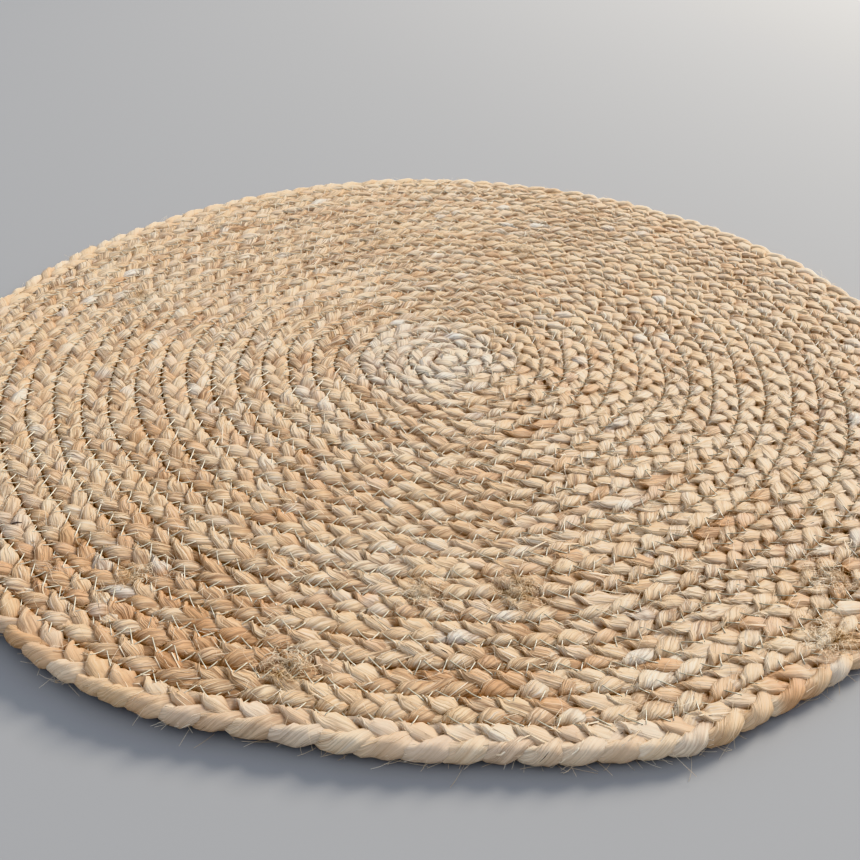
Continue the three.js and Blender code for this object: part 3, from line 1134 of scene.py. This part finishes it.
# %% Loose fibres and bark
HAIR_DARK, HAIR_PALE = (0.62, 0.42, 0.22), (0.92, 0.80, 0.60)
BARK_DARK, BARK_PALE = (0.045, 0.03, 0.022), (0.15, 0.10, 0.07)


def plain_fibre_material(name, dark, pale, roughness):
    n = Nodes(name)
    place_on = n.add("TexCoord").outputs["Object"]
    tone = n.noise(n.scaled(place_on, (130, 130, 130)), 2)
    colour = n.ramp(tone, [(0.35, dark), (0.65, pale)])
    n.link(colour, n.shader.inputs["Base Color"])
    n.shader.inputs["Roughness"].default_value = roughness
    return n.material


hair_material = plain_fibre_material("loose_jute", HAIR_DARK, HAIR_PALE, 0.5)
for piece in (lying, strays):
    piece.data.materials.append(hair_material)
bark_material = plain_fibre_material("bark", BARK_DARK, BARK_PALE, 0.7)
flakes.data.materials.append(bark_material)

# %% Thread
# Painted light and painted shade: the thread's cream at the left of the mat and olive at the right
THREAD_SHADED_OLIVE, THREAD_LIT_CREAM = (0.31, 0.265, 0.16), (0.74, 0.67, 0.48)
LIT_TO_SHADED_FADE = 0.13  # metres to either side of the middle in which the thread's colour changes


def thread_look():
    """A smooth thread that mirrors the lamp: painted light at the left, painted shade at the right."""
    n = Nodes("thread")
    place_on = n.add("TexCoord").outputs["Object"]
    split = n.add("SeparateXYZ")
    n.link(place_on, split.inputs[0])
    tone = n.noise(n.scaled(place_on, (160, 160, 160)), 2)
    # From painted light at the left to painted shade at the right, with a little noise
    wave = n.math("ADD", n.spread(split.outputs[0], LIT_TO_SHADED_FADE, -LIT_TO_SHADED_FADE), n.math("SUBTRACT", tone, 0.5))
    colour = n.ramp(wave, [(0.1, THREAD_SHADED_OLIVE), (0.9, THREAD_LIT_CREAM)])
    n.link(colour, n.shader.inputs["Base Color"])
    n.shader.inputs["Roughness"].default_value = 0.34
    n.shader.inputs["IOR"].default_value = 1.6
    n.shader.inputs["Specular IOR Level"].default_value = 1.0
    return n.material


thread_material = thread_look()
for piece in (top_thread, under_thread):
    piece.data.materials.append(thread_material)

# %% [markdown]
# ## Floor and light
# The mat lies on a plain pale surface. One lamp stands low behind it to the right, like a window, so
# that light from the side shapes the strands and the front edge throws a soft shadow towards the
# camera. A cool surround fills the shadows. A view transform that keeps hues as they are is chosen,
# because the usual one would grey the straw colours.

# %% Floor
FLOOR_COLOUR = (0.325, 0.318, 0.305, 1)

bpy.ops.object.select_all(action="DESELECT")
bpy.ops.mesh.primitive_plane_add(size=6, location=(0, 0, 0))
floor = bpy.context.object
floor.name = "floor"
floor_look = Nodes("pale_surface")
floor_look.shader.inputs["Base Color"].default_value = FLOOR_COLOUR
floor_look.shader.inputs["Roughness"].default_value = 0.9
floor_look.shader.inputs["Specular IOR Level"].default_value = 0.1
floor.data.materials.append(floor_look.material)

# %% Light
LAMP_DIRECTION = math.radians(40)
LAMP_HEIGHT = math.radians(29)
LAMP_DISTANCE = 2.3
LAMP_POWER = 85
LAMP_SIZE = 0.65
LAMP_COLOUR = (1.0, 0.945, 0.86)
SURROUND_COLOUR = (0.76, 0.84, 1.0, 1)
SURROUND_STRENGTH = 0.94

lamp_data = bpy.data.lights.new("window", "AREA")
lamp_data.energy = LAMP_POWER
lamp_data.size = LAMP_SIZE
lamp_data.color = LAMP_COLOUR
lamp = bpy.data.objects.new("window", lamp_data)
bpy.context.scene.collection.objects.link(lamp)
towards = Vector(
    (
        math.cos(LAMP_HEIGHT) * math.cos(LAMP_DIRECTION),
        math.cos(LAMP_HEIGHT) * math.sin(LAMP_DIRECTION),
        math.sin(LAMP_HEIGHT),
    )
)
lamp.location = towards * LAMP_DISTANCE
lamp.rotation_euler = (-towards).to_track_quat("-Z", "Y").to_euler()

world = bpy.data.worlds.new("surround")
world.use_nodes = True
background = world.node_tree.nodes["Background"]
background.inputs["Color"].default_value = SURROUND_COLOUR
background.inputs["Strength"].default_value = SURROUND_STRENGTH
bpy.context.scene.world = world
bpy.context.scene.view_settings.view_transform = "Khronos PBR Neutral"

# %% [markdown]
# ## Which body each piece rides on
# The strands stand for the imported coil, which is hidden, the thread is sewn on it, and everything
# rides on the one body.

# %% Declarations
pieces = [*strand_pieces, top_thread, under_thread, lying, strays, flakes]
for piece in pieces:
    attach(piece, "root")
for piece in strand_pieces:
    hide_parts("braided_coil")
